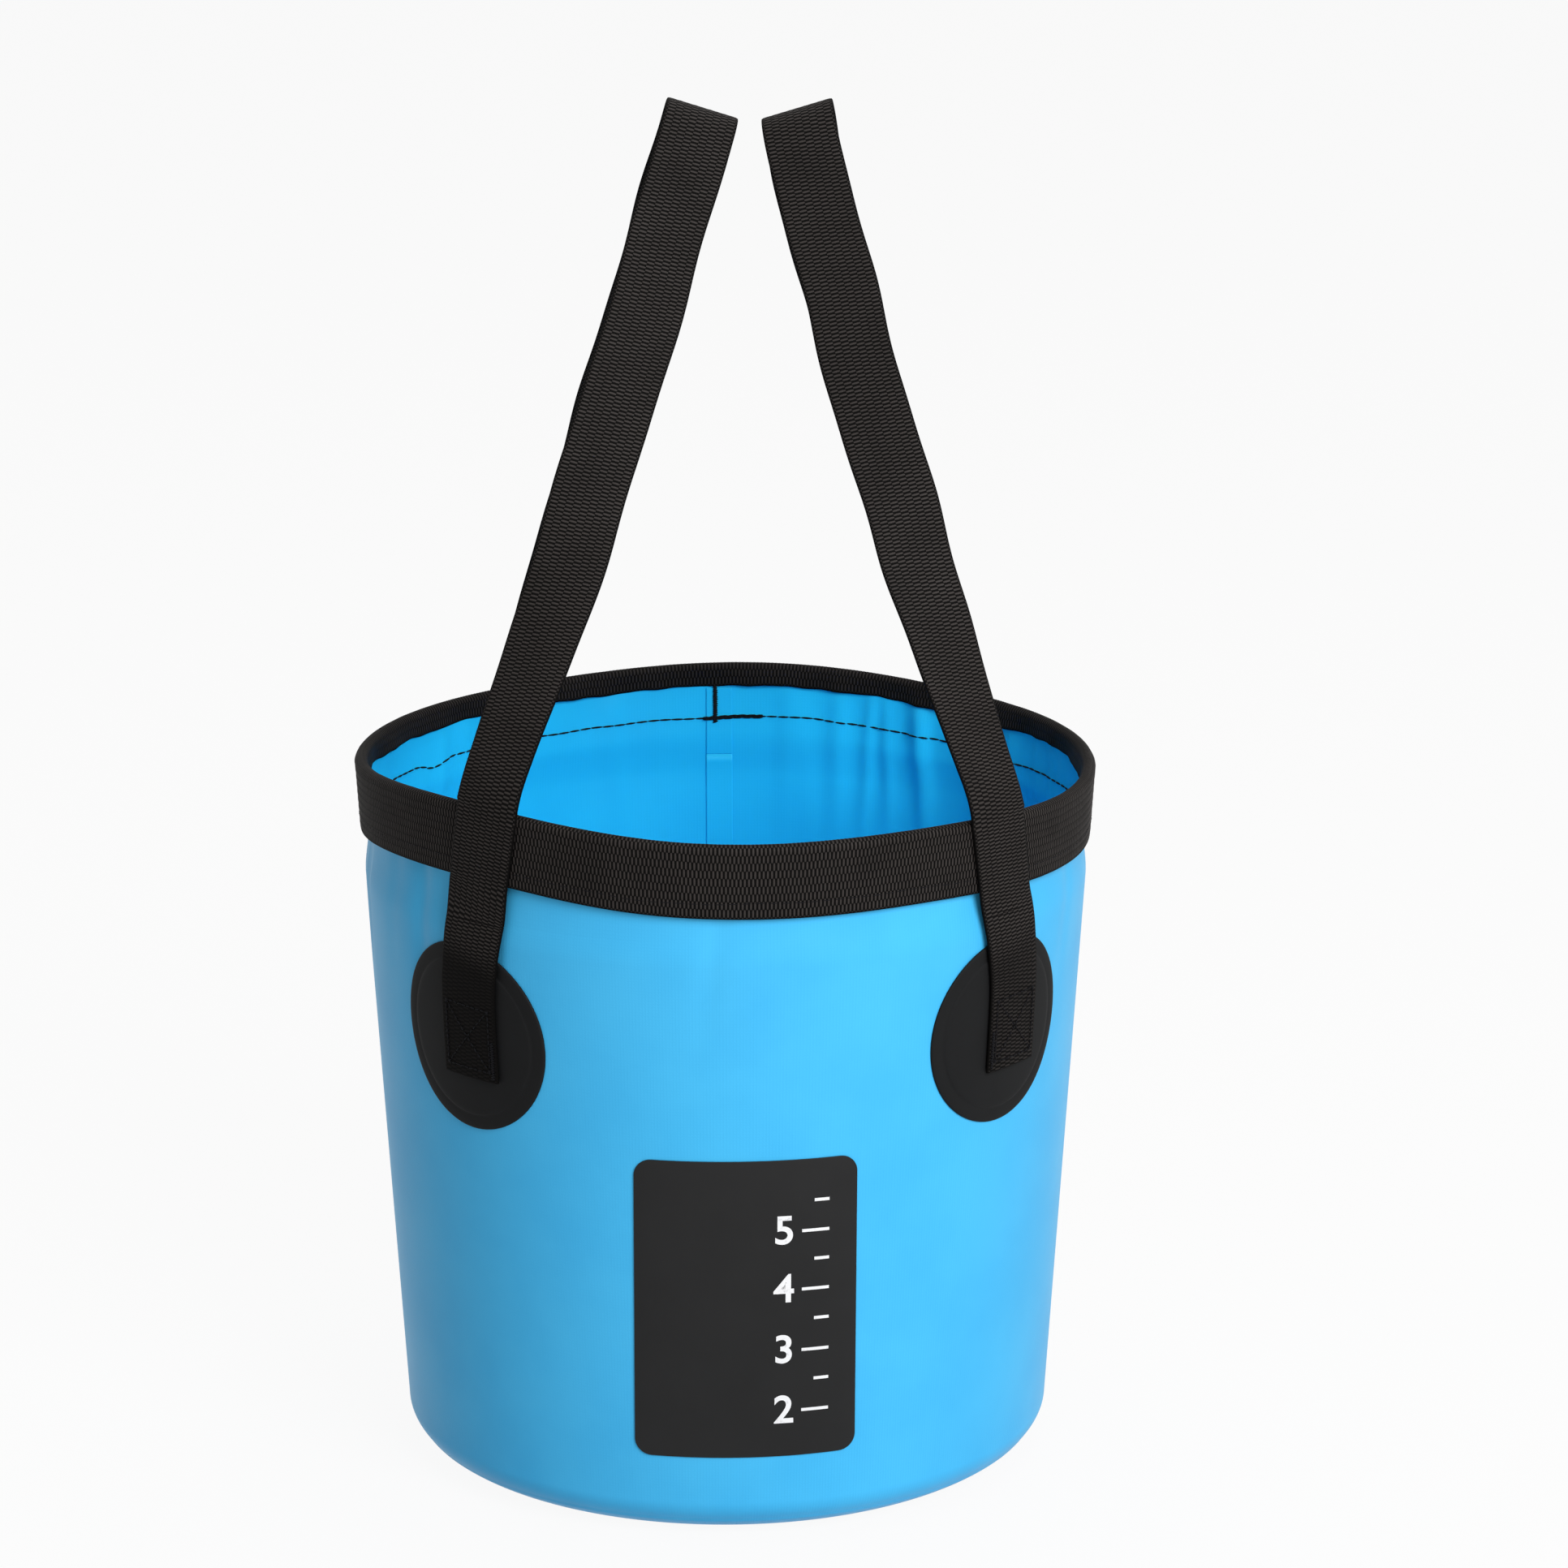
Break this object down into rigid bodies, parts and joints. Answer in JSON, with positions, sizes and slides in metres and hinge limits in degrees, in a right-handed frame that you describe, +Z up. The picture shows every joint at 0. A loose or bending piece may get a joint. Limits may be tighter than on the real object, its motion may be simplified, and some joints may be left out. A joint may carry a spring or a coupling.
{
  "type": "collapsible camp bucket",
  "caption": "Soft collapsible bucket of coated fabric with a stiffened webbing rim, round strap patches and two webbing carrying loops.",
  "frame": {"origin": "centre of the round base, on the surface the bucket stands on", "axes": "+Z up along the bucket axis, -Y to the front with the label panel, +X to the right seen from the front"},
  "size_m": [0.2622, 0.2622, 0.4848],
  "materials": {
    "blue_coated_fabric": "satin",
    "black_webbing": "matte",
    "black_patch": "satin",
    "black_panel": "satin",
    "black_thread": "matte",
    "white_plastic": "satin"
  },
  "bodies": {
    "base": {"wall": "blue_coated_fabric", "base_disc": "blue_coated_fabric", "back_seam_strip": "blue_coated_fabric", "label_panel": "black_panel", "patch_front_left": "black_patch", "patch_back_left": "black_patch", "patch_front_right": "black_patch", "patch_back_right": "black_patch", "strap_end_front_left": "black_webbing", "strap_end_back_left": "black_webbing", "strap_end_front_right": "black_webbing", "strap_end_back_right": "black_webbing", "box_stitch_front_left": "black_thread", "box_stitch_back_left": "black_thread", "box_stitch_front_right": "black_thread", "box_stitch_back_right": "black_thread"},
    "rim": {"rim_band": "black_webbing", "rim_stiffener": "white_plastic", "rim_stitch": "black_thread", "seam_bartack": "black_thread"},
    "handle_left": {"handle_strap_left": "black_webbing"},
    "handle_right": {"handle_strap_right": "black_webbing"}
  },
  "joints": [
    {"name": "rim_collapse", "type": "slide", "parent": "base", "child": "rim", "axis": [0, 0, -1], "range_m": [0, 0.195], "deforming": ["wall", "back_seam_strip", "label_panel", "patch_front_left", "patch_back_left", "patch_front_right", "patch_back_right", "strap_end_front_left", "strap_end_back_left", "strap_end_front_right", "strap_end_back_right", "box_stitch_front_left", "box_stitch_back_left", "box_stitch_front_right", "box_stitch_back_right"]},
    {"name": "handle_left_fold", "type": "hinge", "parent": "rim", "child": "handle_left", "pos_m": [-0.0905, 0.0058, 0.228], "axis": [-0.0637, -0.998, 0], "range_deg": [0, 108]},
    {"name": "handle_right_fold", "type": "hinge", "parent": "rim", "child": "handle_right", "pos_m": [0.101, -0.0008, 0.228], "axis": [0.0079, 1, 0], "range_deg": [0, 108]}
  ]
}
